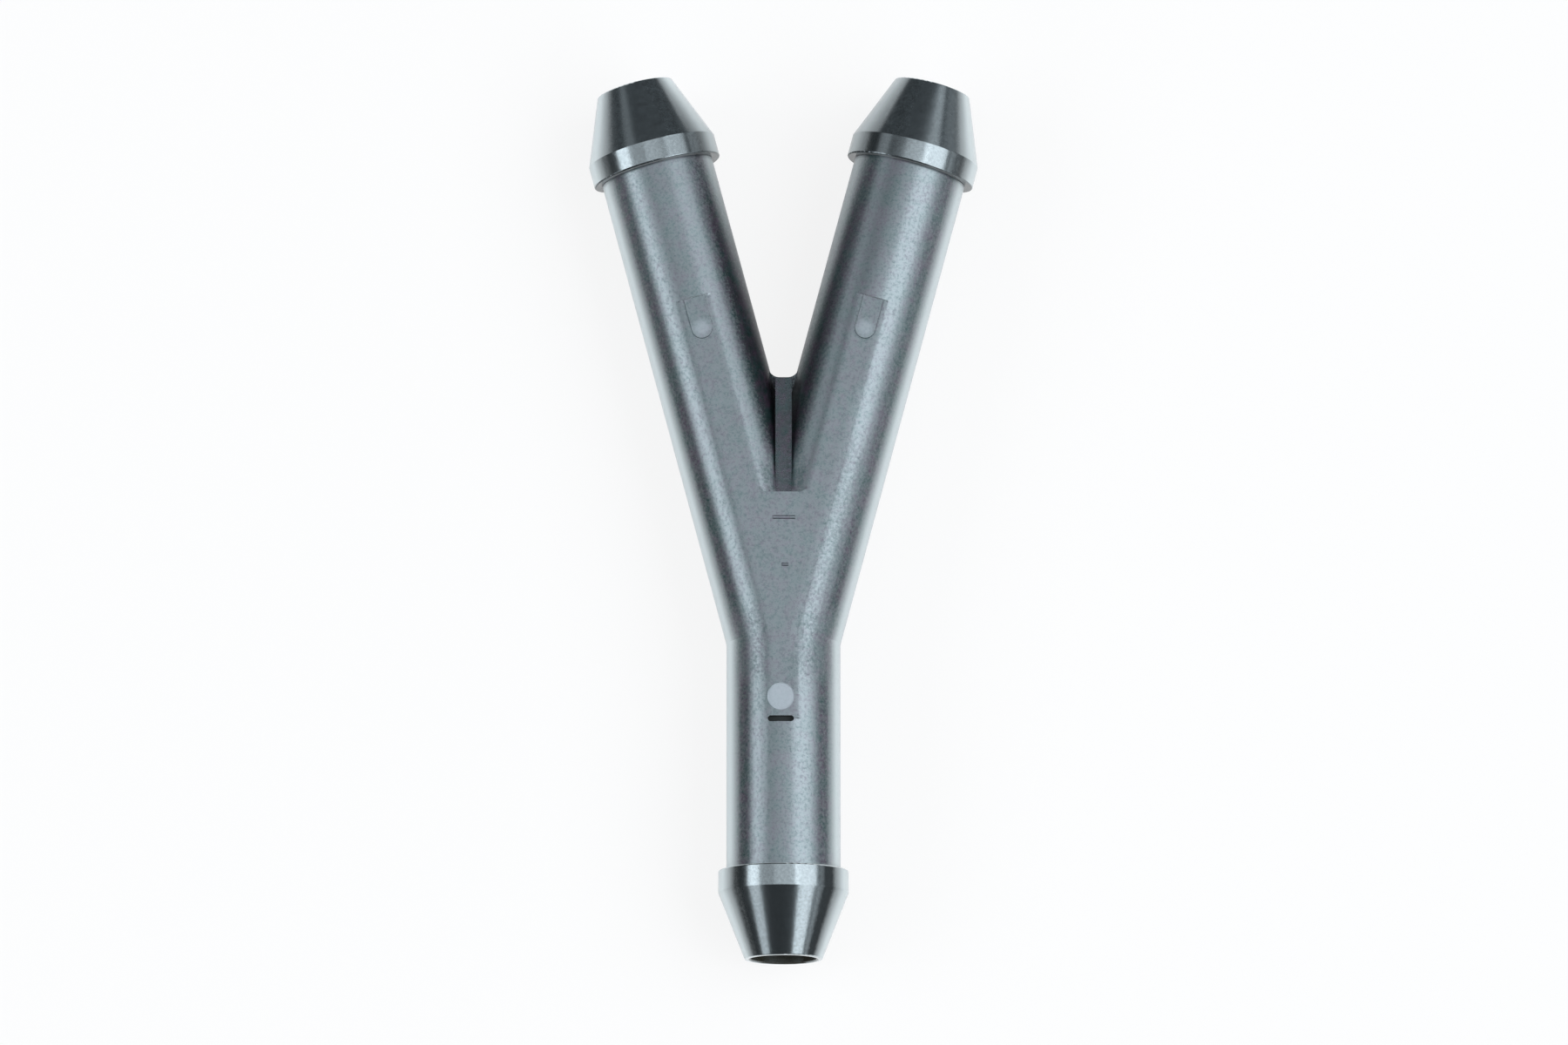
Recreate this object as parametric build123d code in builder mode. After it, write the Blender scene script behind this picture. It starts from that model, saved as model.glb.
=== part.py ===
from build123d import *
import math
import os

# One-piece moulded Y connector for soft tubing: a stem and two arms, each with a round bore
# and a single hose barb. It lies flat, with the legs' axes level and the arms towards +Y.
# The origin is the centre of its bounding box, on the plane that the barbs lie on.

# ---------------------------------------------------------------- driving dimensions, mm

# Legs
tube_d = 7.0  # outside of each leg
bore_d = 4.1  # waterway of each leg
stem_length = 14.5  # meeting point of the axes to the stem's barb
arm_length = 30.15  # meeting point of the axes to each arm's barb
arm_angle = 15.0  # degrees from the stem's line to each arm

# Barbs
barb_d = 8.0  # across the cylindrical land
land_length = 1.35
cone_length = 4.1
tip_d = 4.75
land_round = 0.08  # both edges of the land
tip_round = 0.1  # outer edge of the tip
mouth_chamfer = 0.08  # inner edge of the tip

# Flat along the crests, and the deck that fills the fork level with it
flat_drop = 0.12  # flat below the crests
flat_arm_reach = 21.4  # meeting point of the axes to the flat's end on each arm
flat_stem_reach = 5.55  # meeting point of the axes to the flat's end on the stem
deck_reach = 8.55  # meeting point of the axes to the deck's straight end
deck_side = 0.8  # crest of each arm to the side of the deck's notch
deck_side_reach = 12.0  # length of those sides, along the arm
deck_end_round = 0.7  # plan corners of the deck's end

# Web and stiffening rib in the bottom of the fork
crotch_reach = 16.15  # meeting point of the axes to the web's straight edge
crotch_straight = 0.5  # straight part of that edge, between its round corners
web_thickness = 1.4
web_overlap = 0.01  # sides of the web's round corners inside the arms' surface
rib_width = 1.0
rib_step = 0.35  # top of the rib below the deck at the deck's end
rib_fall = 0.75  # further drop of the rib's top by its end
rib_setback = 0.3  # rib's end behind the edge of the web

# Gate mark and slot on the stem's crest
gate_d = 1.65
gate_offset = 4.14  # meeting point of the axes to the gate mark
gate_depth = 0.05  # below the flat
gate_shift = 0.16  # to the left of the stem's axis
slot_length = 1.6
slot_width = 0.38
slot_offset = 5.52  # meeting point of the axes to the slot
slot_depth = 0.3  # below the flat

# ---------------------------------------------------------------- dependent sizes

tube_r = tube_d / 2
bore_r = bore_d / 2
barb_r = barb_d / 2
tip_r = tip_d / 2
barb_length = land_length + cone_length

sine = math.sin(math.radians(arm_angle))
cosine = math.cos(math.radians(arm_angle))

# Ends of the part along Y, measured from the meeting point of the axes
stem_end = stem_length + barb_length
arm_end = (arm_length + barb_length) * cosine + tip_r * sine
junction = Vector(0, (stem_end - arm_end) / 2, barb_r)

flat_top = tube_r - flat_drop
rib_reach = crotch_reach - rib_setback
near = 0.001  # tolerance for picking out edges and corners

# ---------------------------------------------------------------- planes

# Plan plane through the axes, with its origin at their meeting point
plan = Plane(origin=junction, x_dir=(1, 0, 0), z_dir=(0, 0, 1))
# Upright plane of symmetry: local x runs along the part, local y is up
middle = Plane(origin=junction, x_dir=(0, 1, 0), z_dir=(1, 0, 0))
# Planes of the flat and of the crests, looking down on them
flat = plan.offset(flat_top)
crest = plan.offset(tube_r)

# Each leg's direction in plan, and its length up to the barb
stem_direction = Vector(0, -1, 0)
left_direction = Vector(-sine, cosine, 0)
right_direction = Vector(sine, cosine, 0)
legs = [
    (stem_direction, stem_length),
    (left_direction, arm_length),
    (right_direction, arm_length),
]


def beside_arm(along, inward):
    """Plan point of the left arm: a distance along its axis, and one towards the fork."""
    return (-along * sine + inward * cosine, along * cosine + inward * sine)


# Where the deck's end line crosses the side of its notch
deck_corner_along = (deck_reach - deck_side * sine) / cosine

# Sides of the web, just inside the arms, and where its straight edge crosses them
web_side = math.sqrt(tube_r**2 - (web_thickness / 2) ** 2) - web_overlap
web_corner_along = (crotch_reach - web_side * sine) / cosine

# Round corners of the web: each takes what the straight part leaves of half the edge
web_corner_turn = math.radians(90 - arm_angle)
web_corner_run = crotch_reach * sine / cosine - web_side / cosine - crotch_straight / 2
crotch_round = web_corner_run / math.tan(web_corner_turn / 2)
web_side_end = web_corner_along + crotch_round

# ---------------------------------------------------------------- rib

with BuildPart() as rib:
    with BuildSketch(middle):
        with BuildLine():
            rib_top = flat_top - rib_step
            rib_end = rib_top - rib_fall
            Polyline(
                (0, 0),
                (0, rib_top),
                (deck_reach, rib_top),
                (rib_reach, rib_end),
                (rib_reach, 0),
                close=True,
            )
        make_face()
        mirror(about=Plane.XZ)
    extrude(amount=rib_width / 2, both=True)

# ---------------------------------------------------------------- body

with BuildPart() as body:
    # Legs: tube, square shoulder, land, cone and rounded tip, turned about each axis
    for direction, length in legs:
        section_plane = Plane(origin=junction, x_dir=direction, z_dir=(0, 0, 1))
        tip = length + barb_length
        with BuildSketch(section_plane) as section:
            with BuildLine():
                Polyline(
                    (0, 0),
                    (0, tube_r),
                    (length, tube_r),
                    (length, barb_r),
                    (length + land_length, barb_r),
                    (tip, tip_r),
                    (tip, 0),
                    close=True,
                )
            make_face()
            tip_corner = section.vertices().group_by(Axis.X)[-1].sort_by(Axis.Y)[-1]
            fillet(tip_corner, radius=tip_round)
            land_corners = section.vertices().filter_by(
                lambda corner: abs(corner.Y - barb_r) < near
            )
            fillet(land_corners, radius=land_round)
        revolve(axis=Axis(junction, direction))

    # Deck: the fork filled between the crest lines, up to a notch with round corners
    with BuildSketch(plan) as deck:
        with BuildLine():
            Polyline(
                (0, 0),
                beside_arm(deck_side_reach, 0),
                beside_arm(deck_side_reach, deck_side),
                beside_arm(deck_corner_along, deck_side),
                (0, deck_reach),
            )
            mirror(about=Plane.YZ)
        make_face()
        end_corners = deck.vertices().filter_by(
            lambda corner: abs(corner.Y - deck_reach) < near and abs(corner.X) > near
        )
        fillet(end_corners, radius=deck_end_round)
    extrude(amount=tube_r, both=True)

    # Web: joins the arms beyond the deck, with a straight edge rounded into them
    with BuildSketch(plan) as web:
        with BuildLine():
            Polyline(
                (0, 0),
                beside_arm(web_side_end, 0),
                beside_arm(web_side_end, web_side),
                beside_arm(web_corner_along, web_side),
                (0, crotch_reach),
            )
            mirror(about=Plane.YZ)
        make_face()
        web_corners = web.vertices().filter_by(
            lambda corner: abs(corner.Y - crotch_reach) < near and abs(corner.X) > near
        )
        fillet(web_corners, radius=crotch_round)
    extrude(amount=web_thickness / 2, both=True)

    add(rib.part)

    # Flat: the crests of the fork and of the stem's start are levelled, above and below
    for level, cut in ((flat_top, flat_drop), (-flat_top, -flat_drop)):
        with BuildSketch(plan.offset(level)):
            with BuildLine():
                Polyline(
                    (0, -flat_stem_reach),
                    (-barb_r, -flat_stem_reach),
                    (-barb_r, 0),
                    beside_arm(flat_arm_reach, -barb_r),
                    beside_arm(flat_arm_reach, barb_r),
                    (0, crotch_reach),
                )
                mirror(about=Plane.YZ)
            make_face()
        extrude(amount=cut, mode=Mode.SUBTRACT)

    # Bores: one down each leg, meeting at the junction
    for direction, length in legs:
        tip = length + barb_length
        mouth = Plane(origin=junction + direction * tip, z_dir=direction)
        with BuildSketch(mouth):
            Circle(bore_r)
        extrude(amount=-tip, mode=Mode.SUBTRACT)

    mouths = body.edges().filter_by(GeomType.CIRCLE).filter_by(
        lambda edge: abs(edge.radius - bore_r) < near and edge.is_closed
    )
    chamfer(mouths, length=mouth_chamfer)

    # Gate mark: a round recess just into the flat
    with BuildSketch(flat):
        with Locations((-gate_shift, -gate_offset)):
            Circle(gate_d / 2)
    extrude(amount=-gate_depth, mode=Mode.SUBTRACT)

    # Slot: across the flat's end, cut down from the crest
    with BuildSketch(crest):
        with Locations((-gate_shift, -slot_offset)):
            SlotOverall(slot_length, slot_width)
    extrude(amount=-flat_drop - slot_depth, mode=Mode.SUBTRACT)

body.part.label = "connector_body"

# ---------------------------------------------------------------- output

os.makedirs("parts", exist_ok=True)
export_step(body.part, "parts/connector_body.step")
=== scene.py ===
"""Dresses the moulded tubing Y connector and sets it on a plain studio floor."""

import math

import bmesh
import bpy
from bpy.props import FloatProperty, FloatVectorProperty, PointerProperty
from mathutils import Matrix, Vector


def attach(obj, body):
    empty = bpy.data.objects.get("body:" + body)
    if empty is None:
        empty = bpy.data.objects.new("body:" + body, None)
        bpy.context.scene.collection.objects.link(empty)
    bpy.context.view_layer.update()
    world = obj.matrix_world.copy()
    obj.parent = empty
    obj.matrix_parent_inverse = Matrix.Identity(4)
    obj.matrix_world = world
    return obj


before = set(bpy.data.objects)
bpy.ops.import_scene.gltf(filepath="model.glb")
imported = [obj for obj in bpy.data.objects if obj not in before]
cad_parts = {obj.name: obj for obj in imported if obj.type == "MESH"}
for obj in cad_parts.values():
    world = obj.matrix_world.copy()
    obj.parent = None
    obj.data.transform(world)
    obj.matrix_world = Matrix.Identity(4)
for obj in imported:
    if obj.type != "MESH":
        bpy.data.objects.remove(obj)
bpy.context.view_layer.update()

bl_info = {
    "name": "Tubing Y connector",
    "version": (1, 0, 0),
    "blender": (4, 5, 0),
    "location": "3D View > Sidebar > Y connector",
    "description": "Finish, raised marks and studio for a moulded tubing Y connector",
    "category": "Object",
}

BODY = "connector_body"
MM = 0.001

# Where the axes of the stem and the two arms meet, in mm, and how the arms lean
JUNCTION = Vector((0.0, -7.52583, 4.0))
ARM_TURN = 15.0  # degrees
ARM_SIN = math.sin(math.radians(ARM_TURN))
ARM_COS = math.cos(math.radians(ARM_TURN))

# Plain bars on the deck. Each row: forward of the meeting point of the axes, to the right of
# the middle, width and depth, in mm
BARS = ((6.96, 0.03, 1.56, 0.37), (4.02, 0.1, 0.6, 0.33))

# Noise in the plastic. Each row: scale in waves a millimetre, detail and roughness
CLOUD = (0.45, 3.0, 0.5)
DRIFT = (0.8, 2.0, 0.5)
FLECK = (2.6, 3.0, 0.7)
GRAIN = (5.5, 2.0, 0.8)

# Borders of the places that get a finish of their own, in mm
SOFT = 0.02
HAIR = 0.008

# Studio lamps. Each row: name, side, degrees from overhead, start and end along the
# connector and width, in metres, then the setting of its brightness, and the share of that
LAMPS = (
    ("left_strip_start", -1.0, 57.0, -1.2, -0.35, 0.5, "left_lamp", 0.5),
    ("left_strip", -1.0, 55.0, -0.35, 0.30, 0.48, "left_lamp", 1.0),
    ("left_strip_end", -1.0, 55.0, 0.30, 1.1, 0.48, "left_lamp", 0.15),
    ("right_strip_start", 1.0, 45.0, -1.2, -0.4, 0.69, "right_lamp", 0.9),
    ("right_strip", 1.0, 41.0, -0.4, 0.32, 0.86, "right_lamp", 1.0),
    ("right_strip_end", 1.0, 41.0, 0.32, 1.2, 0.86, "right_lamp", 0.45),
    ("left_fill", -1.0, 88.0, -1.1, 1.1, 0.36, "left_fill", 1.0),
    ("right_fill", 1.0, 80.0, -1.1, 1.1, 0.45, "right_fill", 1.0),
    ("top_panel", 1.0, 4.6, -0.17, 0.37, 0.97, "top_lamp", 1.0),
    ("top_panel_side", -1.0, 31.0, -0.17, 0.37, 0.53, "top_lamp", 0.62),
)
LAMP_COLOUR = (0.95, 1.0, 1.04)

CAMERA_TARGET = Vector((0.03, -0.34, 4.0))  # mm
SENSOR_WIDTH = 36.0  # mm
CLIP_START = 0.05  # m
CLIP_END = 20.0  # m


# ------------------------------------------------------------------ settings


class ConnectorSizes(bpy.types.PropertyGroup):
    """Sizes of the connector's finish and of its raised marks, in millimetres."""

    tube_radius: FloatProperty(
        name="Tube radius", description="Outside radius of each leg", default=3.5, min=0.5
    )
    bore_radius: FloatProperty(
        name="Bore radius", description="Radius of the waterway", default=2.05, min=0.2
    )
    stem_length: FloatProperty(
        name="Stem length",
        description="Meeting point to the stem's barb",
        default=14.5,
        min=1.0,
    )
    arm_length: FloatProperty(
        name="Arm length",
        description="Meeting point to each arm's barb",
        default=30.15,
        min=1.0,
    )
    land_length: FloatProperty(
        name="Land length",
        description="Length of each barb's round land",
        default=1.35,
        min=0.1,
    )
    flat_height: FloatProperty(
        name="Flat height", description="Flat above the legs' axes", default=3.38, min=0.1
    )
    flat_stem_reach: FloatProperty(
        name="Flat on the stem", description="Meeting point to the flat's end", default=5.55
    )
    flat_arm_reach: FloatProperty(
        name="Flat on the arms",
        description="Meeting point to the flat's ends",
        default=21.4,
    )
    deck_reach: FloatProperty(
        name="Deck reach",
        description="Meeting point to the deck's end",
        default=8.55,
        min=0.1,
    )
    rib_width: FloatProperty(
        name="Rib width", description="Width of the rib in the fork", default=1.0, min=0.1
    )
    gate_radius: FloatProperty(
        name="Gate radius",
        description="Radius of the pale gate mark",
        default=0.825,
        min=0.1,
    )
    gate_offset: FloatProperty(
        name="Gate offset",
        description="Meeting point to the gate mark",
        default=4.14,
        min=0.1,
    )
    gate_shift: FloatProperty(
        name="Gate shift", description="Gate mark and slot to the left", default=0.16
    )
    slot_offset: FloatProperty(
        name="Slot offset", description="Meeting point to the slot", default=5.52, min=0.1
    )
    slot_length: FloatProperty(
        name="Slot length", description="Length of the slot across the stem", default=1.6
    )
    slot_width: FloatProperty(
        name="Slot width", description="Width of the slot along the stem", default=0.38
    )
    mark_rise: FloatProperty(
        name="Mark rise", description="Raised marks above the flat", default=0.05, min=0.005
    )
    tongue_slope: FloatProperty(
        name="Tongue slope",
        description="Width of the arms' marks' sloping sides",
        default=0.08,
    )
    tongue_width: FloatProperty(
        name="Tongue width",
        description="Width of the mark on each arm",
        default=1.4,
        min=0.1,
    )
    tongue_start: FloatProperty(
        name="Tongue start",
        description="Meeting point to the mark's round end",
        default=18.7,
    )
    tongue_end: FloatProperty(
        name="Tongue end",
        description="Meeting point to the mark's square end",
        default=21.35,
    )
    bar_slope: FloatProperty(
        name="Bar slope", description="Width of the deck bars' sloping sides", default=0.136
    )


class ConnectorColours(bpy.types.PropertyGroup):
    """Colours of the connector's moulded plastic."""

    satin_cool: FloatVectorProperty(
        name="Cool satin",
        description="Cooler of the two blacks in the satin legs and deck",
        subtype="COLOR",
        size=3,
        min=0.0,
        max=1.0,
        default=(0.0125, 0.031, 0.031),
    )
    satin_warm: FloatVectorProperty(
        name="Warm satin",
        description="Warmer of the two blacks in the satin legs and deck",
        subtype="COLOR",
        size=3,
        min=0.0,
        max=1.0,
        default=(0.035, 0.0235, 0.037),
    )
    polished: FloatVectorProperty(
        name="Polished barb",
        description="Colour of the polished barbs",
        subtype="COLOR",
        size=3,
        min=0.0,
        max=1.0,
        default=(0.010, 0.012, 0.013),
    )
    gate: FloatVectorProperty(
        name="Gate mark",
        description="Colour of the sheared gate mark",
        subtype="COLOR",
        size=3,
        min=0.0,
        max=1.0,
        default=(0.34, 0.37, 0.41),
    )
    bore: FloatVectorProperty(
        name="Bore",
        description="Colour inside the bores",
        subtype="COLOR",
        size=3,
        min=0.0,
        max=1.0,
        default=(0.040, 0.038, 0.030),
    )
    # Painted shade: the slot gets this matte near-black in place of the shade in it
    slot: FloatVectorProperty(
        name="Slot",
        description="Colour inside the slot beside the gate mark",
        subtype="COLOR",
        size=3,
        min=0.0,
        max=1.0,
        default=(0.032, 0.036, 0.036),
    )
    # Painted reflection: this pale colour shows on edges that turn away from the eye, in
    # place of the white floor's reflection there
    painted_rim_reflection: FloatVectorProperty(
        name="Edge haze",
        description="Colour of the sheen on edges that turn away",
        subtype="COLOR",
        size=3,
        min=0.0,
        max=1.0,
        default=(0.74, 0.80, 0.80),
    )
    reflection: FloatVectorProperty(
        name="Reflection",
        description="Tint of what the plastic reflects",
        subtype="COLOR",
        size=3,
        min=0.0,
        max=1.0,
        default=(0.83, 0.95, 1.0),
    )


class StudioSettings(bpy.types.PropertyGroup):
    """Camera, lamps and floor of the studio."""

    camera_elevation: FloatProperty(
        name="Elevation",
        description="Camera's angle above the floor",
        subtype="ANGLE",
        default=math.radians(80.5),
    )
    camera_distance: FloatProperty(
        name="Distance", description="Camera to the connector", unit="LENGTH", default=0.8
    )
    lens_ratio: FloatProperty(
        name="Lens ratio",
        description="Lens length over the camera's distance",
        default=0.373,
    )
    left_lamp: FloatProperty(
        name="Left lamp", description="Brightness of the left strip", default=4.35, min=0.0
    )
    right_lamp: FloatProperty(
        name="Right lamp",
        description="Brightness of the right strip",
        default=3.75,
        min=0.0,
    )
    top_lamp: FloatProperty(
        name="Top lamp",
        description="Brightness of the overhead panel",
        default=1.85,
        min=0.0,
    )
    left_fill: FloatProperty(
        name="Left fill",
        description="Brightness of the low left panel",
        default=0.12,
        min=0.0,
    )
    right_fill: FloatProperty(
        name="Right fill",
        description="Brightness of the low right panel",
        default=1.3,
        min=0.0,
    )
    lamp_distance: FloatProperty(
        name="Lamp distance",
        description="Lamps to the connector",
        unit="LENGTH",
        default=1.2,
    )
    surround: FloatVectorProperty(
        name="Surround",
        description="Colour of the dim studio round the lamps",
        subtype="COLOR",
        size=3,
        min=0.0,
        max=1.0,
        default=(0.05, 0.052, 0.055),
    )
    floor_reach: FloatProperty(
        name="Floor reach",
        description="Half of the floor's width",
        unit="LENGTH",
        default=4.0,
    )
    floor_paper: FloatVectorProperty(
        name="Floor paper",
        description="Colour of the floor in the lamps' light",
        subtype="COLOR",
        size=3,
        min=0.0,
        max=1.0,
        default=(0.8, 0.8, 0.8),
    )
    floor_white: FloatProperty(
        name="Floor white",
        description="Share of plain white seen in the floor",
        default=0.85,
    )


# ------------------------------------------------------------------ shader building


class Val:
    """A number socket that takes part in Python arithmetic by adding Math nodes."""

    def __init__(self, shader, socket):
        self.shader = shader
        self.socket = socket

    def math(self, operation, *values):
        """The operation on this number and the others, if it takes more than one."""
        node = self.shader.node(
            "ShaderNodeMath", {"operation": operation}, dict(enumerate((self, *values)))
        )
        return Val(self.shader, node.outputs[0])

    def flip(self, operation, value):
        """The operation with this number as the second one."""
        node = self.shader.node(
            "ShaderNodeMath", {"operation": operation}, {0: value, 1: self}
        )
        return Val(self.shader, node.outputs[0])

    def __add__(self, other):
        return self.math("ADD", other)

    __radd__ = __add__

    def __sub__(self, other):
        return self.math("SUBTRACT", other)

    def __rsub__(self, other):
        return self.flip("SUBTRACT", other)

    def __mul__(self, other):
        return self.math("MULTIPLY", other)

    __rmul__ = __mul__

    def __truediv__(self, other):
        return self.math("DIVIDE", other)

    def __rtruediv__(self, other):
        return self.flip("DIVIDE", other)

    def __abs__(self):
        return self.math("ABSOLUTE")

    def at_least(self, other):
        """This number, or the other where that is larger."""
        return self.math("MAXIMUM", other)

    def either(self, other):
        """Two masks in one: the larger of them."""
        return self.math("MAXIMUM", other)

    def rise(self, low, high):
        """A smooth step from 0 at low to 1 at high, which falls when low is above high."""
        node = self.shader.node(
            "ShaderNodeMapRange",
            {"interpolation_type": "SMOOTHSTEP"},
            {"Value": self, "From Min": low, "From Max": high},
        )
        return Val(self.shader, node.outputs[0])

    def band(self, low, high, soft):
        """1 between low and high and 0 outside, over a soft edge."""
        return self.rise(low - soft, low) * self.rise(high + soft, high)


class Shader:
    """Builds one node material."""

    def __init__(self, name):
        self.material = bpy.data.materials.new(name)
        self.material.use_nodes = True
        self.tree = self.material.node_tree
        self.tree.nodes.clear()
        self.output = self.node("ShaderNodeOutputMaterial", {}, {})

    def node(self, kind, settings, inputs):
        """Adds a node. Its inputs take numbers, colours, sockets and Vals."""
        node = self.tree.nodes.new(kind)
        for name, value in settings.items():
            setattr(node, name, value)
        for name, value in inputs.items():
            socket = node.inputs[name]
            if isinstance(value, Val):
                self.tree.links.new(value.socket, socket)
            elif isinstance(value, bpy.types.NodeSocket):
                self.tree.links.new(value, socket)
            else:
                socket.default_value = value
        return node

    def place(self):
        """The object's own coordinates in millimetres: the vector, and x, y and z."""
        coordinates = self.node("ShaderNodeTexCoord", {}, {})
        scaled = self.node(
            "ShaderNodeVectorMath",
            {"operation": "SCALE"},
            {"Vector": coordinates.outputs["Object"], "Scale": 1.0 / MM},
        )
        parts = self.node("ShaderNodeSeparateXYZ", {}, {0: scaled.outputs[0]})
        return scaled.outputs[0], *(Val(self, socket) for socket in parts.outputs)

    def noise(self, vector, scale, detail, roughness):
        """Noise between about 0 and 1 with a middle of 0.5."""
        node = self.node(
            "ShaderNodeTexNoise",
            {},
            {"Vector": vector, "Scale": scale, "Detail": detail, "Roughness": roughness},
        )
        return Val(self, node.outputs[0])

    def facing(self):
        """0 where the surface faces the eye, up to 1 where it turns away."""
        return Val(self, self.node("ShaderNodeLayerWeight", {}, {}).outputs["Facing"])

    def blend(self, factor, low, high):
        """A colour that goes from low to high."""
        node = self.node(
            "ShaderNodeMix",
            {"data_type": "RGBA"},
            {0: factor, 6: paint(low), 7: paint(high)},
        )
        return node.outputs[2]

    def tint(self, colour, factor):
        """A colour made darker or lighter by a number near 1."""
        node = self.node(
            "ShaderNodeVectorMath",
            {"operation": "SCALE"},
            {"Vector": colour, "Scale": factor},
        )
        return node.outputs[0]

    def principled(self, inputs):
        """One finish, as a socket."""
        return self.node("ShaderNodeBsdfPrincipled", {}, inputs).outputs[0]

    def mix(self, factor, first, second):
        """Two finishes in one: the first at a factor of 0, the second at 1."""
        node = self.node("ShaderNodeMixShader", {}, {0: factor, 1: first, 2: second})
        return node.outputs[0]

    def dress(self, surface):
        """Gives the material its surface."""
        self.tree.links.new(surface, self.output.inputs["Surface"])
        return self.material


def paint(colour):
    """A colour as a socket takes it: a link stays, and three numbers get an alpha of 1."""
    if isinstance(colour, bpy.types.NodeSocket):
        return colour
    return (*colour, 1.0)


# ------------------------------------------------------------------ places on the connector


class Spot:
    """Where a point of the surface lies on the connector, in millimetres."""

    def __init__(self, shader):
        self.vector, self.x, y, z = shader.place()
        # From the meeting point of the axes: towards the arms, up, and to either side
        self.forward = y - JUNCTION.y
        self.height = z - JUNCTION.z
        self.aside = abs(self.x)
        # Along the nearer arm's axis, and across it, which is negative towards the fork
        self.along_arm = self.aside * ARM_SIN + self.forward * ARM_COS
        self.across_arm = self.aside * ARM_COS - self.forward * ARM_SIN
        # Out from the middle of the stem or of the arm, whichever is nearer
        self.outward = self.across_arm.math("MINIMUM", self.aside)
        # Off the axes' level, up or down, and 1 on the right-hand side
        self.level = abs(self.height)
        self.right = self.x.rise(0.0, 0.6)


def distance(first, second):
    """Distance from where both numbers are 0."""
    return (first * first + second * second).math("SQRT")


def barb_mask(spot, sizes):
    """The barbs."""
    on_arm = spot.along_arm.rise(sizes.arm_length - SOFT, sizes.arm_length)
    on_stem = spot.forward.rise(SOFT - sizes.stem_length, -sizes.stem_length)
    return on_arm.either(on_stem)


def cone_mask(spot, sizes):
    """The cones of the arms' barbs."""
    start = sizes.arm_length + sizes.land_length
    soft = 0.05
    return spot.along_arm.rise(start - soft, start + soft)


def shoulder_shade_mask(spot, sizes):
    """The barbs' square shoulders, for the painted shade on their faces."""
    on_arm = spot.along_arm.band(sizes.arm_length - HAIR, sizes.arm_length + HAIR, HAIR)
    on_stem = spot.forward.band(-sizes.stem_length - HAIR, HAIR - sizes.stem_length, HAIR)
    return on_arm.either(on_stem)


def foot_shade_mask(spot, sizes):
    """A narrow ring round each arm at the foot of its shoulder, for a painted shadow in that
    corner.
    """
    ring = 0.08
    soft = 0.05
    return spot.along_arm.band(sizes.arm_length - ring, sizes.arm_length, soft)


def shoulder_edge_mask(spot, sizes):
    """The arms' shoulders, with the round edge over them."""
    edge = 0.06
    soft = 0.03
    return spot.along_arm.band(sizes.arm_length - SOFT, sizes.arm_length + edge, soft)


def bore_mask(spot, sizes):
    """The walls of the bores, with the chamfers at their mouths."""
    wall = sizes.bore_radius + 0.1
    into_arms = (0.0, 0.5)
    in_arm = distance(spot.across_arm, spot.height).rise(wall, wall - SOFT)
    in_arm = in_arm * spot.forward.rise(*into_arms)
    in_stem = distance(spot.x, spot.height).rise(wall, wall - SOFT)
    in_stem = in_stem * spot.forward.rise(*reversed(into_arms))
    return in_arm.either(in_stem)


def gate_mask(spot, sizes):
    """The gate mark's floor."""
    floor = (sizes.flat_height - 0.08, sizes.flat_height - 0.03)
    gate = distance(spot.x + sizes.gate_shift, spot.forward + sizes.gate_offset)
    gate = gate.rise(sizes.gate_radius + SOFT, sizes.gate_radius - SOFT)
    return gate * spot.height.rise(*floor)


def slot_shade_mask(spot, sizes):
    """The slot beside the gate mark, whose shade is painted with a near-black matte finish.
    """
    end = sizes.slot_length / 2.0
    side = sizes.slot_width / 2.0
    floor = sizes.flat_height - 0.38
    mouth = sizes.flat_height - 0.04
    slot = abs(spot.x + sizes.gate_shift).rise(end + 0.03, end - 0.01)
    slot = slot * abs(spot.forward + sizes.slot_offset).rise(side + 0.03, side)
    return slot * spot.height.band(floor, mouth, SOFT)


def rib_mask(spot, sizes):
    """The rib's top and the upper part of its sides."""
    end = (sizes.deck_reach, sizes.deck_reach + 0.05)
    side = (sizes.rib_width / 2.0 + 0.03, sizes.rib_width / 2.0 + 0.01)
    above_web = (1.0, 1.1)
    return spot.forward.rise(*end) * spot.aside.rise(*side) * spot.level.rise(*above_web)


def valley_shade_mask(spot, sizes):
    """The narrow valleys between the rib and the arms, for the painted shade in them."""
    end = (sizes.deck_reach - 0.05, sizes.deck_reach + 0.25)
    gap = (sizes.rib_width / 2.0 + 0.05, sizes.rib_width / 2.0 + 0.12)
    soft = 0.14
    above_web = (0.6, 0.8)
    valley = spot.forward.rise(*end) * spot.aside.band(*gap, soft)
    return valley * spot.level.rise(*above_web)


def step_shade_mask(spot, sizes):
    """The small steps where the flat ends on the arms, for painted shade on their risers."""
    end = (sizes.flat_arm_reach - 0.005, sizes.flat_arm_reach + 0.01)
    soft = 0.01
    half = 0.9
    riser = (sizes.flat_height - 0.02, sizes.flat_height + 0.01)
    step = spot.along_arm.band(*end, soft) * spot.across_arm.band(-half, half, SOFT)
    return step * spot.level.rise(*riser)


def fork_shade_mask(spot, rib):
    """Painted shade on the arms' sides inside the fork, weaker on the rib and along the
    right arm.
    """
    inside = (-1.5, -2.5)
    starts = (8.0, 12.0)
    fades = (44.0, 18.0)
    fades_on_right = (6.0, 26.0)
    less_on_rib = 0.72
    less_on_right = 0.42
    fork = spot.across_arm.rise(*inside)
    fork = fork * spot.along_arm.rise(*fades) * spot.along_arm.rise(*starts)
    on_right = spot.right * spot.along_arm.rise(*fades_on_right)
    return fork * (1.0 - rib * less_on_rib) * (1.0 - on_right * less_on_right)


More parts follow.
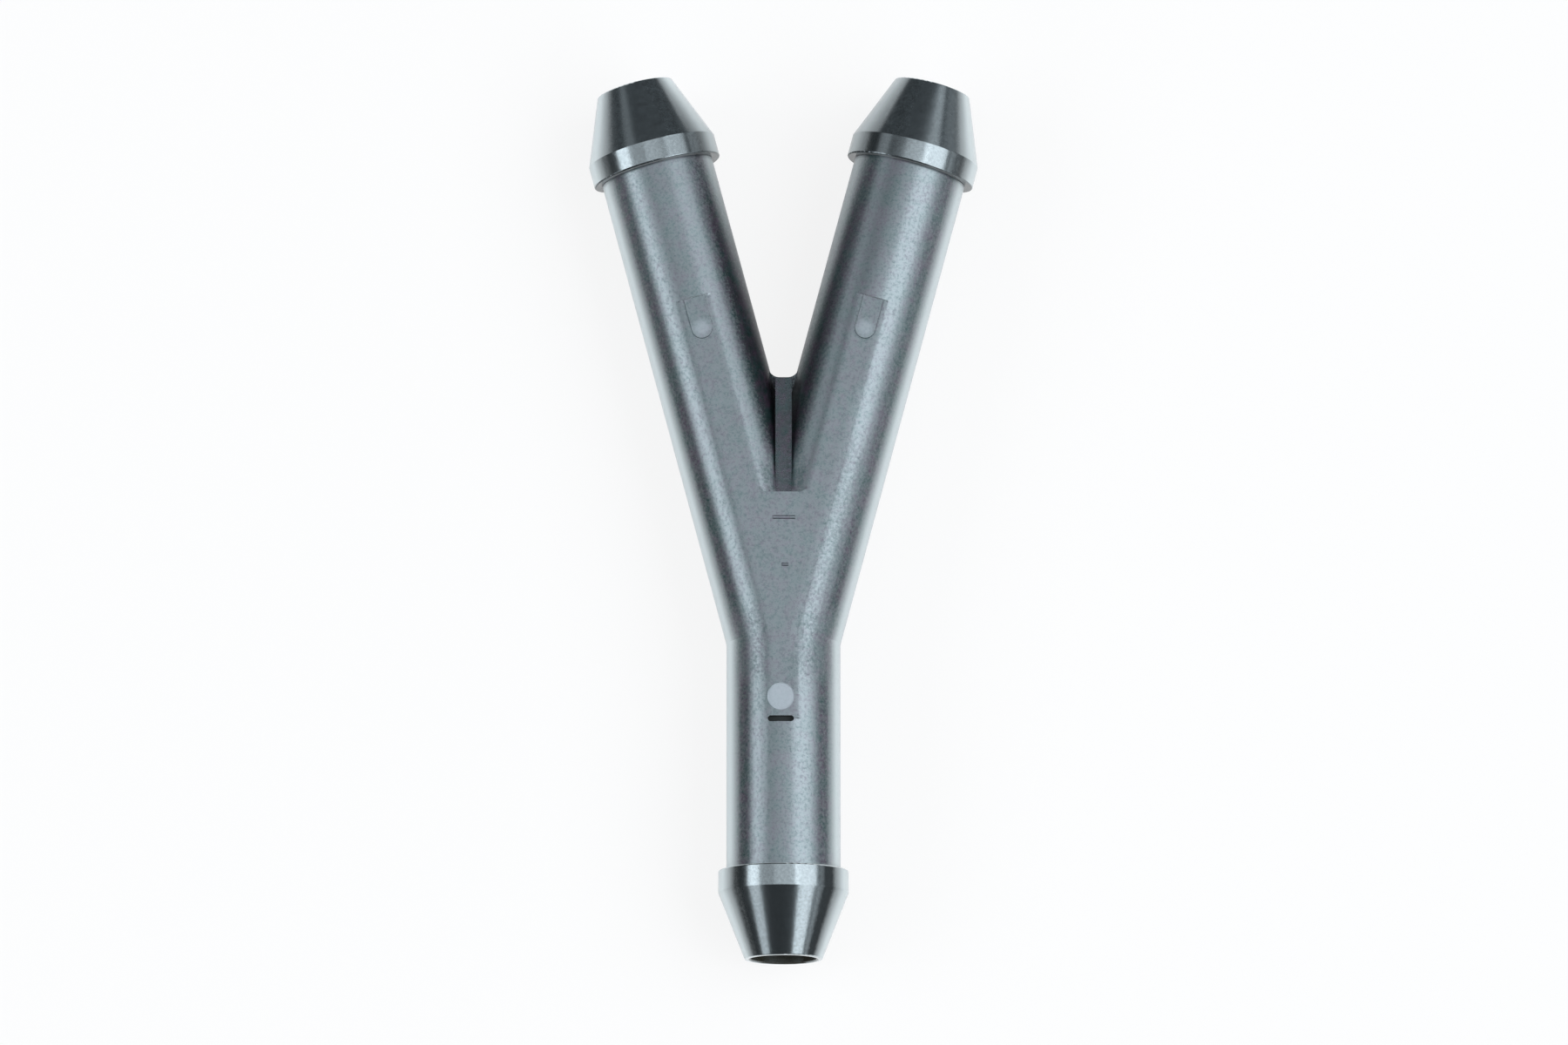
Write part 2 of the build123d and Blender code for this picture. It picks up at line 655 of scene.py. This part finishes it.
def pocket_shade_mask(spot, sizes):
    """Painted shade in the two pockets in the corners of the deck's notch."""
    starts = (sizes.deck_reach - 0.05, sizes.deck_reach + 0.05)
    fades = (sizes.deck_reach + 2.85, sizes.deck_reach + 0.85)
    beside_rib = (0.6, 1.3)
    soft = 0.4
    inside = (-1.0, -1.4)
    pocket = spot.forward.rise(*starts) * spot.forward.rise(*fades)
    return pocket * spot.aside.band(*beside_rib, soft) * spot.across_arm.rise(*inside)


def knee_shade_mask(spot):
    """The bends between the stem's sides and the arms': a little painted shade there, and
    less of the flanks' painted shade.
    """
    bend = (-2.2, 0.6)
    soft = 1.6
    off_flat = (0.9, 1.2)
    return spot.forward.band(*bend, soft) * spot.outward.rise(*off_flat)


def tongue_masks(spot, sizes):
    """The middle of each arm's mark at its round end, for a pale painted highlight, and the
    rim of that end, which is made darker.
    """
    radius = sizes.tongue_width / 2.0
    centre = sizes.tongue_start + radius
    level = (sizes.flat_height - 0.08, sizes.flat_height - 0.04)
    middle = (radius + 0.1, radius - 0.55)
    rim = (radius - 0.06, radius)
    mark = (sizes.tongue_start - 0.1, sizes.tongue_end)
    soft = 0.05
    on_flat = spot.height.rise(*level)
    pad = distance(spot.across_arm, spot.along_arm - centre).rise(*middle)
    lip = distance(spot.across_arm, (centre - spot.along_arm).at_least(0.0))
    lip = lip.band(*rim, soft) * spot.along_arm.band(*mark, soft)
    return pad * on_flat, lip * on_flat


def flank_shade_mask(spot, facing, knee):
    """The steep sides of the legs, picked by their angle to the eye, for painted shade that
    is weaker at the knees and further out along the arms.
    """
    steep = (0.15, 0.26)
    edge_on = (0.43, 0.32)
    fades_on_right = (2.0, 10.0)
    fades_on_left = (12.0, 28.0)
    less_on_right = 0.28
    less_on_left = 0.3
    less_at_knees = 0.45
    fade = spot.right * spot.along_arm.rise(*fades_on_right) * less_on_right
    on_left = (1.0 - spot.right) * spot.along_arm.rise(*fades_on_left)
    fade = fade + on_left * less_on_left
    return facing.rise(*steep) * facing.rise(*edge_on) * (1.0 - knee * less_at_knees - fade)


def right_band_shade_mask(spot):
    """Painted shade on a band beside the flat, from the right knee up along the arm."""
    along = (-1.0, 10.0)
    along_soft = 3.0
    beside_flat = (0.9, 2.1)
    beside_soft = 0.3
    band = spot.right * spot.forward.band(*along, along_soft)
    return band * spot.across_arm.band(*beside_flat, beside_soft)


# ------------------------------------------------------------------ moulded plastic


class Noises:
    """The uneven patterns in the plastic, from the broadest to the finest."""

    def __init__(self, shader, vector):
        self.cloud = shader.noise(vector, *CLOUD)
        self.drift = shader.noise(vector, *DRIFT)
        self.fleck = shader.noise(vector, *FLECK)
        self.grain = shader.noise(vector, *GRAIN)


def satin_colour(shader, noises, colours, fork):
    """Two blacks in soft patches, under fine specks, with painted shade in the fork."""
    patches = (0.38, 0.62)
    contrasts = ((noises.grain, 4.0), (noises.fleck, 1.5), (noises.cloud, 0.8))
    darkest = 0.1
    fork_shade_darkening = 0.45
    hue = (noises.drift * 0.55 + noises.fleck * 0.45).rise(*patches)
    satin = shader.blend(hue, colours.satin_cool, colours.satin_warm)
    speck = 1.0
    for noise, contrast in contrasts:
        speck = speck + (noise - 0.5) * contrast
    return shader.tint(satin, speck.at_least(darkest) * (1.0 - fork * fork_shade_darkening))


def polished_colour(shader, noises, colours, cone):
    """Smudged black, with more smudges on the arms' cones."""
    smudge = 0.2 + noises.fleck * 0.6 + noises.grain * 1.8
    on_cone = noises.fleck * 3.0 + noises.grain * 2.4 - 0.9
    return shader.tint(colours.polished, smudge + cone * on_cone)


def gate_colour(shader, noises, colours):
    """Pale and slightly mottled."""
    return shader.tint(colours.gate, 0.93 + noises.grain * 0.23 + noises.fleck * 0.23)


def plastic_roughness(noises, barb, rib, gate):
    """Satin legs, smoother barbs and rib, and a torn gate mark."""
    satin = 0.28 + noises.grain * 0.12 + noises.fleck * 0.04
    polished = 0.17 + noises.fleck * 0.08
    on_rib = 0.22
    more_on_gate = 0.25
    rough = satin - barb * (satin - polished)
    rough = rough - rib * (rough - on_rib)
    return rough + gate * more_on_gate


def plastic_relief(spot, sizes, noises, barb):
    """Height of the fine grain, the flat's eased edges and the filled knees, in mm."""
    grain_height = 0.0024
    fleck_height = 0.002
    less_on_barbs = 0.4
    grain = noises.grain * grain_height + noises.fleck * fleck_height
    grain = grain * (1.0 - barb * less_on_barbs)

    # The flat's edges are eased over a strip to either side, which is wider on the right
    flat_half = math.sqrt(sizes.tube_radius**2 - sizes.flat_height**2)
    strip = 0.3
    wider_on_right = 0.35
    wide_part = (-1.0, 14.0)
    wide_soft = 2.0
    drop = 0.063  # at the edge, for each mm of the strip
    past_deck = (sizes.deck_reach - 0.05, sizes.deck_reach + 0.35)
    on_arms = (sizes.flat_arm_reach, sizes.flat_arm_reach - 0.1)
    on_stem = (-sizes.flat_stem_reach, 0.1 - sizes.flat_stem_reach)
    wide = spot.right * spot.forward.band(*wide_part, wide_soft)
    width = strip + wide * wider_on_right
    outer = (width - abs(spot.outward - flat_half)).at_least(0.0)
    inner = (strip - abs(spot.across_arm + flat_half)).at_least(0.0)
    inner = inner * spot.forward.rise(*past_deck)
    ease = outer * outer * drop / width + inner * inner * (drop / strip)
    ease = ease * spot.along_arm.rise(*on_arms) * spot.forward.rise(*on_stem)

    # The knees are filled along the mitre, which leans by half of the arm's turn
    lean = math.radians(ARM_TURN / 2.0)
    reach = 1.6
    fullness = 0.041
    off_crest = (0.8, 1.3)
    to_mitre = abs(spot.forward * math.cos(lean) + spot.aside * math.sin(lean))
    fill = (reach - to_mitre).at_least(0.0)
    fill = fill * fill * fullness * spot.aside.rise(*off_crest)
    fill = fill * spot.aside * (1.0 / sizes.tube_radius)
    return grain - ease + fill


def shade_and_speckle_share(spot, sizes, noises, facing, barb, rib, fork, knee, lip):
    """How much of the dim copy shows instead of the glossy plastic: painted shade in the
    places below, over an even share and a random speckle.
    """
    on_flanks = 0.55
    more_on_barbs = 0.2
    more_on_right_barb = 0.2
    everywhere = 0.1
    contrast = 1.7
    less_on_barbs = 0.6
    lit_side = (-0.2, 0.5)
    # Painted shade on the steep sides, deeper on the barbs and deeper again on the right
    # barb
    steepest = on_flanks + barb * (more_on_barbs + spot.right * more_on_right_barb)
    shade_and_speckle = flank_shade_mask(spot, facing, knee) * steepest
    # Each row: a broad place made darker, and its share; all but the rim of the arms' marks
    # are painted shade
    for mask, share in (
        (fork, 0.93),
        (pocket_shade_mask(spot, sizes), 0.45),
        (knee, 0.2),
        (right_band_shade_mask(spot), 0.15),
        # The rim of each arm's mark, made darker
        (lip, 0.12),
    ):
        shade_and_speckle = shade_and_speckle.either(mask * share)
    speckle = (noises.grain - 0.5) * contrast * (1.0 - barb * less_on_barbs)
    shade_and_speckle = (shade_and_speckle + everywhere + speckle).at_least(0.0)
    # Each row: a narrow place of painted shade, which the speckle leaves alone, and its
    # share
    for mask, share in (
        (shoulder_shade_mask(spot, sizes), 0.9),
        (foot_shade_mask(spot, sizes), 0.5),
        (rib * spot.x.rise(*lit_side), 0.42),
        (valley_shade_mask(spot, sizes), 0.8),
        (step_shade_mask(spot, sizes), 0.8),
    ):
        shade_and_speckle = shade_and_speckle.either(mask * share)
    return shade_and_speckle


def rim_reflection_share(spot, sizes, facing, fork, bore):
    """How much of the painted rim reflection, a pale colour, shows on edges that turn away
    from the eye.
    """
    turned_away = (0.34, 0.66)
    strength = 0.9
    less_on_right = 0.3
    less_at_shoulders = 0.8
    sheen = facing.rise(*turned_away) * (1.0 - fork) * (1.0 - bore)
    sheen = sheen * (1.0 - shoulder_edge_mask(spot, sizes) * less_at_shoulders)
    return sheen * (strength - spot.right * less_on_right)


def plastic(sizes, colours):
    """Satin black plastic with polished barbs, dark bores and a pale gate mark, with painted
    shade on its flanks and in its corners, and a painted reflection on edges that turn away.
    """
    shader = Shader("moulded_black_plastic")
    spot = Spot(shader)
    noises = Noises(shader, spot.vector)
    facing = shader.facing()

    barb = barb_mask(spot, sizes)
    bore = bore_mask(spot, sizes)
    gate = gate_mask(spot, sizes)
    rib = rib_mask(spot, sizes)
    fork = fork_shade_mask(spot, rib)
    knee = knee_shade_mask(spot)
    pad, lip = tongue_masks(spot, sizes)

    satin = satin_colour(shader, noises, colours, fork)
    polished = polished_colour(shader, noises, colours, cone_mask(spot, sizes))
    pale = gate_colour(shader, noises, colours)
    colour = shader.blend(barb, satin, polished)
    colour = shader.blend(bore, colour, colours.bore)
    # Painted highlight: the middle of each mark's round end goes towards the pale gate
    # colour
    pad_highlight = 0.35
    colour = shader.blend(gate.either(pad * pad_highlight), colour, pale)

    relief = plastic_relief(spot, sizes, noises, barb)
    bump = shader.node(
        "ShaderNodeBump", {}, {"Strength": 1.0, "Distance": MM, "Height": relief}
    )
    plain = {
        "Base Color": colour,
        "Roughness": plastic_roughness(noises, barb, rib, gate),
        "Specular Tint": paint(colours.reflection),
        "Sheen Weight": 0.5,
        "Sheen Roughness": 0.35,
        "Normal": bump.outputs[0],
    }
    barb_coat = 0.32
    coat = {"Coat Weight": barb * barb_coat, "Coat Roughness": 0.12, "Coat IOR": 1.8}
    glossy = shader.principled({**plain, **coat, "IOR": 2.65})
    # A copy with little reflection, for painted shade and for random speckle
    shade_and_speckle_copy = shader.principled({**plain, "IOR": 1.25, "Sheen Weight": 0.1})
    # Painted rim reflection: the plastic with a pale base colour, mixed in on edges that
    # turn away
    painted_rim_reflection = shader.principled({**plain, "Base Color": paint(colours.painted_rim_reflection), "IOR": 2.65})
    # Painted shade in the slot: a matte near-black finish
    slot_shade = shader.principled(
        {"Base Color": paint(colours.slot), "Roughness": 0.9, "Specular IOR Level": 0.1}
    )

    shade_and_speckle = shade_and_speckle_share(spot, sizes, noises, facing, barb, rib, fork, knee, lip)
    sheen = rim_reflection_share(spot, sizes, facing, fork, bore)
    surface = shader.mix(shade_and_speckle, glossy, shade_and_speckle_copy)
    surface = shader.mix(sheen, surface, painted_rim_reflection)
    surface = shader.mix(slot_shade_mask(spot, sizes), surface, slot_shade)
    return shader.dress(surface)


# ------------------------------------------------------------------ raised marks


def place(along, across, height, turn=0.0):
    """Matrix for a place beside an arm that leans by turn, or beside the stem's line."""
    angle = math.radians(turn)
    spot = Vector(
        (
            along * math.sin(angle) + across * math.cos(angle),
            along * math.cos(angle) - across * math.sin(angle),
            height,
        )
    )
    spot = (JUNCTION + spot) * MM
    return Matrix.Translation(spot) @ Matrix.Rotation(-angle, 4, "Z")


def stretch(width, depth):
    """Matrix that brings an outline of half size 1 mm to half a width and half a depth."""
    return Matrix.Diagonal((width * MM, depth * MM, 1.0, 1.0))


def levels(sizes, slope):
    """Height and inset of a mark's two outlines: inside the flat, and at the top."""
    return (
        (sizes.flat_height - sizes.mark_rise, 0.0),
        (sizes.flat_height + sizes.mark_rise, slope),
    )


def mound(mesh, outlines):
    """Adds a low closed mound: the hull of outlines, each a matrix and round or square."""
    shape = bmesh.new()
    for matrix, square in outlines:
        if square:
            bmesh.ops.create_grid(
                shape, x_segments=1, y_segments=1, size=1.0, matrix=matrix
            )
        else:
            bmesh.ops.create_circle(
                shape, cap_ends=False, segments=48, radius=1.0, matrix=matrix
            )
    bmesh.ops.delete(shape, geom=shape.edges[:] + shape.faces[:], context="EDGES_FACES")
    bmesh.ops.remove_doubles(shape, verts=shape.verts[:], dist=0.001 * MM)
    bmesh.ops.convex_hull(shape, input=shape.verts[:])
    loose = [corner for corner in shape.verts if not corner.link_faces]
    bmesh.ops.delete(shape, geom=loose, context="VERTS")
    data = bpy.data.meshes.new("mound")
    shape.to_mesh(data)
    shape.free()
    mesh.from_mesh(data)
    bpy.data.meshes.remove(data)


def tongue(mesh, turn, sizes):
    """A thin pad on an arm's flat, round at one end and square at the other."""
    radius = sizes.tongue_width / 2.0
    outlines = []
    for height, inset in levels(sizes, sizes.tongue_slope):
        reach = radius - inset
        bulb = place(sizes.tongue_start + radius, 0.0, height, turn)
        end = place(sizes.tongue_end - radius, 0.0, height, turn)
        outlines.append((bulb @ stretch(reach, reach), False))
        outlines.append((end @ stretch(reach, radius), True))
    mound(mesh, outlines)


def bar(mesh, along, across, width, depth, sizes):
    """A thin raised bar across the deck."""
    outlines = []
    for height, inset in levels(sizes, sizes.bar_slope):
        size = stretch(width / 2.0 - inset, depth / 2.0 - inset)
        outlines.append((place(along, across, height) @ size, True))
    mound(mesh, outlines)


# ------------------------------------------------------------------ studio


def aim(camera, position, target):
    """Puts the camera at a position, looking at a target."""
    camera.location = position
    camera.rotation_euler = (target - position).to_track_quat("-Z", "Y").to_euler()


def strip_lamp(context, name, size, radiance):
    """A soft rectangular lamp whose panel looks as bright as radiance from the front."""
    lamp = bpy.data.lights.new(name, "AREA")
    lamp.shape = "RECTANGLE"
    lamp.size, lamp.size_y = size
    lamp.energy = radiance * math.pi * size[0] * size[1]
    lamp.color = LAMP_COLOUR
    obj = bpy.data.objects.new(name, lamp)
    context.collection.objects.link(obj)
    return obj


def floor_paper(studio):
    """Pale paper that looks white to the camera and in reflections, and keeps a shadow."""
    shader = Shader("studio_floor")
    path = shader.node("ShaderNodeLightPath", {}, {})
    seen = Val(shader, path.outputs["Is Camera Ray"])
    seen = seen.either(Val(shader, path.outputs["Is Glossy Ray"]))
    seen = seen.either(Val(shader, path.outputs["Is Transmission Ray"]))
    paper = shader.node("ShaderNodeBsdfDiffuse", {}, {"Color": paint(studio.floor_paper)})
    white = shader.node(
        "ShaderNodeEmission", {}, {"Color": (1.0, 1.0, 1.0, 1.0), "Strength": 1.0}
    )
    return shader.dress(
        shader.mix(seen * studio.floor_white, paper.outputs[0], white.outputs[0])
    )


def studio_floor(context, studio):
    """A wide flat floor under the connector."""
    mesh = bmesh.new()
    bmesh.ops.create_grid(mesh, x_segments=1, y_segments=1, size=studio.floor_reach)
    data = bpy.data.meshes.new("floor")
    mesh.to_mesh(data)
    mesh.free()
    floor = bpy.data.objects.new("floor", data)
    context.collection.objects.link(floor)
    data.materials.append(floor_paper(studio))


def studio_lamps(context, studio):
    """The strips, fills and overhead panels, all at one distance from the connector."""
    for name, side, slope, start, end, width, setting, share in LAMPS:
        angle = math.radians(slope)
        away = Vector((side * math.sin(angle), 0.0, math.cos(angle)))
        middle = Vector((0.0, (start + end) / 2.0, 0.0))
        radiance = getattr(studio, setting) * share
        lamp = strip_lamp(context, name, (end - start, width), radiance)
        lamp.location = away * studio.lamp_distance + middle
        lamp.rotation_euler = away.to_track_quat("Z", "Y").to_euler()


def studio_surround(context, studio):
    """The dim studio that shows between the lamps in reflections."""
    world = bpy.data.worlds.new("studio")
    world.use_nodes = True
    background = world.node_tree.nodes["Background"]
    background.inputs["Color"].default_value = paint(studio.surround)
    context.scene.world = world


def studio_camera(context, studio):
    """The camera, high over the stem's end."""
    data = bpy.data.cameras.new("camera")
    data.sensor_width = SENSOR_WIDTH
    data.lens = studio.lens_ratio * studio.camera_distance / MM
    data.clip_start = CLIP_START
    data.clip_end = CLIP_END
    camera = bpy.data.objects.new("camera", data)
    context.collection.objects.link(camera)
    target = CAMERA_TARGET * MM
    elevation = studio.camera_elevation
    back = Vector((0.0, -math.cos(elevation), math.sin(elevation)))
    aim(camera, target + back * studio.camera_distance, target)
    context.scene.camera = camera


# ------------------------------------------------------------------ operators


class OBJECT_OT_connector_finish(bpy.types.Operator):
    """Give the moulded body its satin and polished plastic"""

    bl_idname = "object.connector_finish"
    bl_label = "Finish the body"

    def execute(self, context):
        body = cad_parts.get(BODY)
        if body is None:
            raise RuntimeError("the connector's body is missing")
        scene = context.scene
        body.material_slots[0].material = plastic(
            scene.connector_sizes, scene.connector_colours
        )
        return {"FINISHED"}


class OBJECT_OT_connector_marks(bpy.types.Operator):
    """Raise the plain marks on the arms and on the deck"""

    bl_idname = "object.connector_marks"
    bl_label = "Raise the marks"

    def execute(self, context):
        sizes = context.scene.connector_sizes
        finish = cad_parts[BODY].material_slots[0].material
        if finish is None:
            raise RuntimeError("the body has no finish yet")
        mesh = bmesh.new()
        for turn in (-ARM_TURN, ARM_TURN):
            tongue(mesh, turn, sizes)
        for row in BARS:
            bar(mesh, *row, sizes)
        bmesh.ops.recalc_face_normals(mesh, faces=mesh.faces[:])
        data = bpy.data.meshes.new("raised_marks")
        mesh.to_mesh(data)
        mesh.free()
        marks = bpy.data.objects.new("raised_marks", data)
        context.collection.objects.link(marks)
        data.materials.append(finish)
        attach(marks, "root")
        return {"FINISHED"}


class SCENE_OT_connector_stage(bpy.types.Operator):
    """Set the floor, lamps, surround and camera"""

    bl_idname = "scene.connector_stage"
    bl_label = "Set the stage"

    def execute(self, context):
        studio = context.scene.connector_studio
        studio_floor(context, studio)
        studio_lamps(context, studio)
        studio_surround(context, studio)
        studio_camera(context, studio)
        context.scene.view_settings.view_transform = "Standard"
        return {"FINISHED"}


# ------------------------------------------------------------------ panel


class VIEW3D_PT_connector(bpy.types.Panel):
    """Sizes, colours and steps of the connector"""

    bl_idname = "VIEW3D_PT_connector"
    bl_label = "Y connector"
    bl_space_type = "VIEW_3D"
    bl_region_type = "UI"
    bl_category = "Y connector"

    def draw(self, context):
        layout = self.layout
        for group in GROUPS:
            box = layout.box()
            settings = getattr(context.scene, group)
            for name in settings.bl_rna.properties.keys():
                if name not in ("rna_type", "name"):
                    box.prop(settings, name)
        for operator in STEPS:
            layout.operator(operator.bl_idname)


GROUPS = {
    "connector_sizes": ConnectorSizes,
    "connector_colours": ConnectorColours,
    "connector_studio": StudioSettings,
}
STEPS = (OBJECT_OT_connector_finish, OBJECT_OT_connector_marks, SCENE_OT_connector_stage)
CLASSES = (*GROUPS.values(), *STEPS, VIEW3D_PT_connector)


def register():
    for item in CLASSES:
        bpy.utils.register_class(item)
    for name, group in GROUPS.items():
        setattr(bpy.types.Scene, name, PointerProperty(type=group))


def unregister():
    for name in GROUPS:
        delattr(bpy.types.Scene, name)
    for item in reversed(CLASSES):
        bpy.utils.unregister_class(item)


def main():
    register()
    bpy.ops.object.connector_finish()
    bpy.ops.object.connector_marks()
    bpy.ops.scene.connector_stage()


if __name__ == "__main__":
    main()
